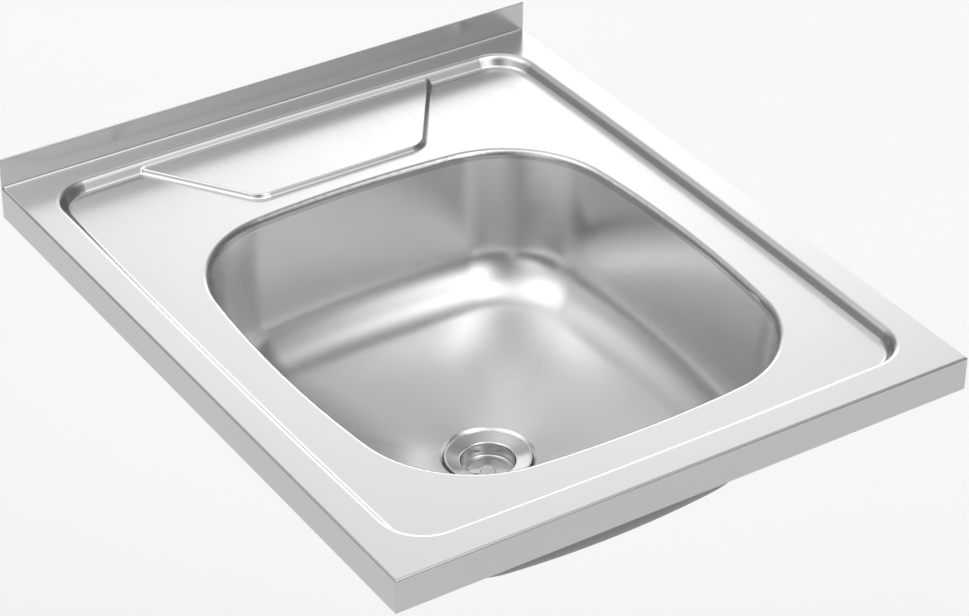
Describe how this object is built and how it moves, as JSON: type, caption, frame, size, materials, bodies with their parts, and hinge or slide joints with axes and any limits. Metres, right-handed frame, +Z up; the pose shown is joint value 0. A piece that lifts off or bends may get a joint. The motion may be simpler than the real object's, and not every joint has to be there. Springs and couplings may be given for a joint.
{
  "type": "kitchen sink",
  "caption": "Lay-on kitchen sink with folded edges, rear upstand, recessed field, rounded bowl, strainer waste and swing fixing tabs.",
  "frame": {"origin": "middle of the ring-shaped face that rests on the cabinet, at the underside of the return flange", "axes": "+X to the user's right, +Y to the wall, +Z up; the deck's top face is 29 mm above the origin"},
  "size_m": [0.5, 0.6, 0.2486],
  "materials": {
    "satin_steel": "satin pressed stainless steel sheet",
    "polished_steel": "polished stainless steel",
    "dark_rubber": "matt",
    "white_plastic": "moulded, satin",
    "brass_bush": "turned",
    "plated_steel": "zinc plated sheet"
  },
  "bodies": {
    "sink": {"sink_deck": "satin_steel", "bowl": "satin_steel", "strainer_cup": "polished_steel", "clamp_screw": "polished_steel", "damping_pad_left": "dark_rubber", "damping_pad_right": "dark_rubber", "cup_seal": "dark_rubber", "body_seal": "dark_rubber", "waste_body": "white_plastic", "screw_insert": "brass_bush", "tab_rivet_front_left": "plated_steel", "tab_rivet_front_right": "plated_steel", "tab_rivet_rear_left": "plated_steel", "tab_rivet_rear_right": "plated_steel"},
    "tab_front_left": {"fixing_tab_front_left": "plated_steel"},
    "tab_front_right": {"fixing_tab_front_right": "plated_steel"},
    "tab_rear_left": {"fixing_tab_rear_left": "plated_steel"},
    "tab_rear_right": {"fixing_tab_rear_right": "plated_steel"}
  },
  "joints": [
    {"name": "swing_front_left", "type": "hinge", "parent": "sink", "child": "tab_front_left", "pos_m": [-0.233, -0.19, 0.008], "axis": [-1, 0, 0], "range_deg": [0, 90]},
    {"name": "swing_front_right", "type": "hinge", "parent": "sink", "child": "tab_front_right", "pos_m": [0.233, -0.19, 0.008], "axis": [-1, 0, 0], "range_deg": [0, 90]},
    {"name": "swing_rear_left", "type": "hinge", "parent": "sink", "child": "tab_rear_left", "pos_m": [-0.233, 0.19, 0.008], "axis": [1, 0, 0], "range_deg": [0, 90]},
    {"name": "swing_rear_right", "type": "hinge", "parent": "sink", "child": "tab_rear_right", "pos_m": [0.233, 0.19, 0.008], "axis": [1, 0, 0], "range_deg": [0, 90]}
  ]
}
